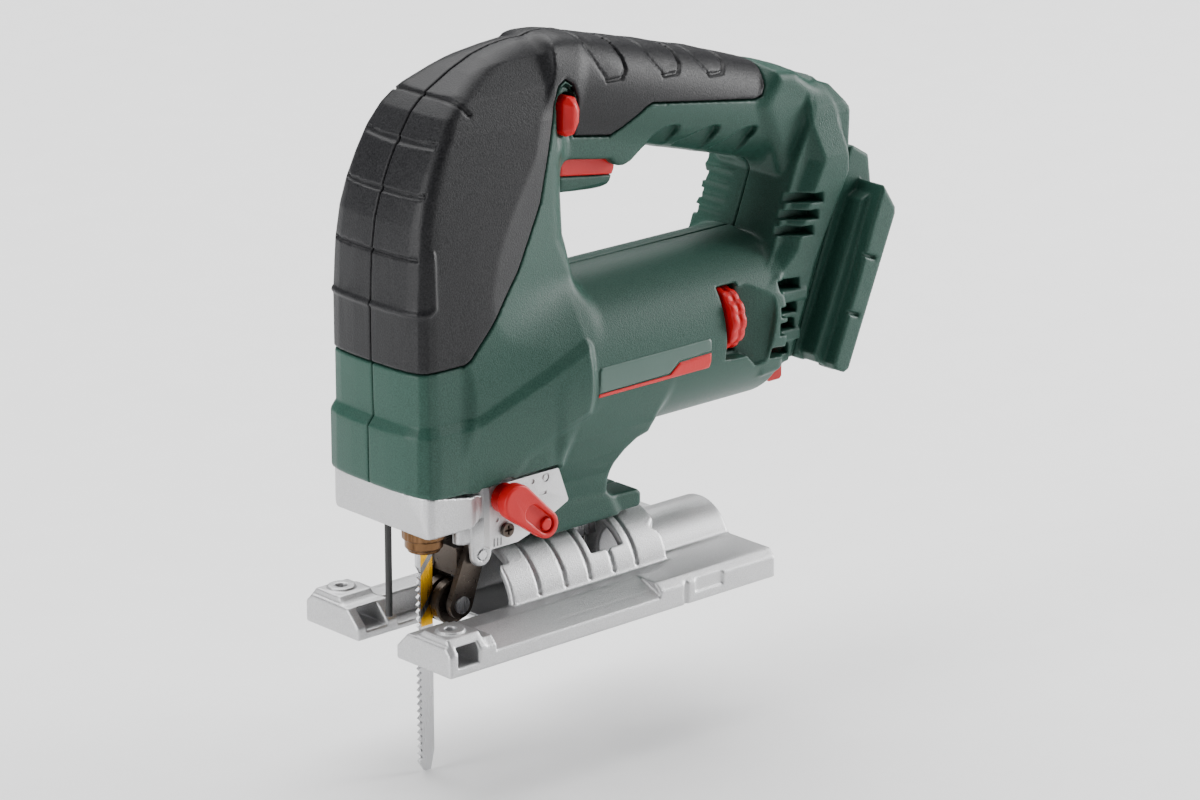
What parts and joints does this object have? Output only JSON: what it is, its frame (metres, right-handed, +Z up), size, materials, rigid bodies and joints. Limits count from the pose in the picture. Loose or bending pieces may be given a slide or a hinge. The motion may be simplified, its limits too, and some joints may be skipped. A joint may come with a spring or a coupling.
{
  "type": "jigsaw",
  "caption": "Cordless D-handle jigsaw with a bevel base plate, pendulum roller, quick blade clamp, trigger and speed dial; battery removed.",
  "frame": {"origin": "centre of the sole, the flat underside of the base plate, on the mid plane", "axes": "+X to the rear (battery end), -X the cutting direction, -Y the tool's left side, +Z up"},
  "size_m": [0.2233, 0.08, 0.2628],
  "materials": {
    "green_plastic": "fine grain",
    "soft_grip": "soft matte",
    "red_plastic": "satin",
    "black_plastic": "satin",
    "cast_aluminium": "cast, fine grain",
    "steel": "ground",
    "dark_steel": "browned steel",
    "blade_steel": "ground, upper part painted yellow",
    "lamination": "stacked sheets",
    "copper": "enamelled wire",
    "bronze": "sintered",
    "label_grey": "smooth panel",
    "spring_steel": "drawn wire"
  },
  "bodies": {
    "housing": {"housing_left": "green_plastic", "housing_right": "green_plastic", "grip_left": "soft_grip", "grip_right": "soft_grip", "housing_screws": "dark_steel", "battery_shoe": "green_plastic", "terminal_block": "black_plastic", "battery_contacts": "bronze", "gear_case": "cast_aluminium", "scale_plate": "cast_aluminium", "scale_screw": "dark_steel", "wire_guard": "dark_steel", "clamp_shoe": "steel", "clamp_screw": "dark_steel", "gear_axle": "steel", "stator_core": "lamination", "stator_windings": "copper", "motor_bearing_front": "steel", "motor_bearing_rear": "steel", "plunger_bush_lower": "bronze", "plunger_bush_upper": "bronze", "pendulum_pin": "steel", "trigger_spring": "spring_steel", "switch_module": "black_plastic", "dial_potentiometer": "black_plastic", "control_module": "black_plastic", "label_panels": "label_grey"},
    "base": {"base_plate": "cast_aluminium"},
    "plunger": {"plunger_rod": "steel", "scotch_yoke": "lamination", "blade_clamp": "steel", "clamp_spring": "spring_steel", "blade": "blade_steel"},
    "sleeve": {"clamp_sleeve": "dark_steel"},
    "gear": {"crank_gear": "lamination", "gear_bush": "bronze", "crank_pin": "steel", "counterweight": "lamination"},
    "rotor": {"rotor_shaft": "steel", "drive_pinion": "steel", "rotor_magnets": "lamination", "cooling_fan": "black_plastic"},
    "pendulum": {"pendulum_fork": "dark_steel", "pendulum_block": "dark_steel", "roller_axle": "steel"},
    "roller": {"guide_roller": "dark_steel"},
    "lever": {"pendulum_lever": "red_plastic", "cam_shaft": "steel"},
    "trigger": {"trigger": "red_plastic", "trigger_cap": "green_plastic"},
    "lock": {"lock_button": "red_plastic"},
    "dial": {"speed_dial": "red_plastic"},
    "slider": {"blower_slider": "red_plastic"}
  },
  "joints": [
    {"name": "base_tilt", "type": "hinge", "parent": "housing", "child": "base", "pos_m": [0, 0, 0.008], "axis": [1, 0, 0], "range_deg": [-45, 45]},
    {"name": "plunger_slide", "type": "slide", "parent": "housing", "child": "plunger", "axis": [0, 0, 1], "range_m": [-0.013, 0.013]},
    {"name": "sleeve_turn", "type": "hinge", "parent": "plunger", "child": "sleeve", "pos_m": [-0.0565, 0, 0.04], "axis": [0, 0, 1], "range_deg": [0, 45], "stiffness_Nm_per_rad": 0.08, "springref_deg": -11.46},
    {"name": "gear_spin", "type": "hinge", "parent": "housing", "child": "gear", "pos_m": [-0.0295, 0, 0.1163], "axis": [1, 0, 0], "continuous": true},
    {"name": "rotor_spin", "type": "hinge", "parent": "housing", "child": "rotor", "pos_m": [0, 0, 0.0923], "axis": [1, 0, 0], "continuous": true},
    {"name": "pendulum_swing", "type": "hinge", "parent": "housing", "child": "pendulum", "pos_m": [-0.0395, 0, 0.0295], "axis": [0, 1, 0], "range_deg": [-8, 0], "stiffness_Nm_per_rad": 1, "springref_deg": 5.73},
    {"name": "roller_spin", "type": "hinge", "parent": "pendulum", "child": "roller", "pos_m": [-0.0464, 0, 0.0115], "axis": [0, 1, 0], "continuous": true},
    {"name": "lever_turn", "type": "hinge", "parent": "housing", "child": "lever", "pos_m": [-0.0405, -0.029, 0.0545], "axis": [0, 1, 0], "range_deg": [-30, 30]},
    {"name": "trigger_pull", "type": "hinge", "parent": "housing", "child": "trigger", "pos_m": [0.0025, 0, 0.167], "axis": [0, -1, 0], "range_deg": [0, 10], "stiffness_Nm_per_rad": 0.6, "springref_deg": -5.73, "deforming": ["trigger_spring"]},
    {"name": "lock_slide", "type": "slide", "parent": "housing", "child": "lock", "axis": [0, 1, 0], "range_m": [-0.003, 0.003]},
    {"name": "dial_turn", "type": "hinge", "parent": "housing", "child": "dial", "pos_m": [0.0655, -0.022, 0.0985], "axis": [1, 0, 0], "range_deg": [-135, 135]},
    {"name": "blower_slide", "type": "slide", "parent": "housing", "child": "slider", "axis": [0, 1, 0], "range_m": [-0.004, 0.004]}
  ],
  "couplings": [
    {"joint": "rotor_spin", "follows": "gear_spin", "ratio": -5}
  ]
}
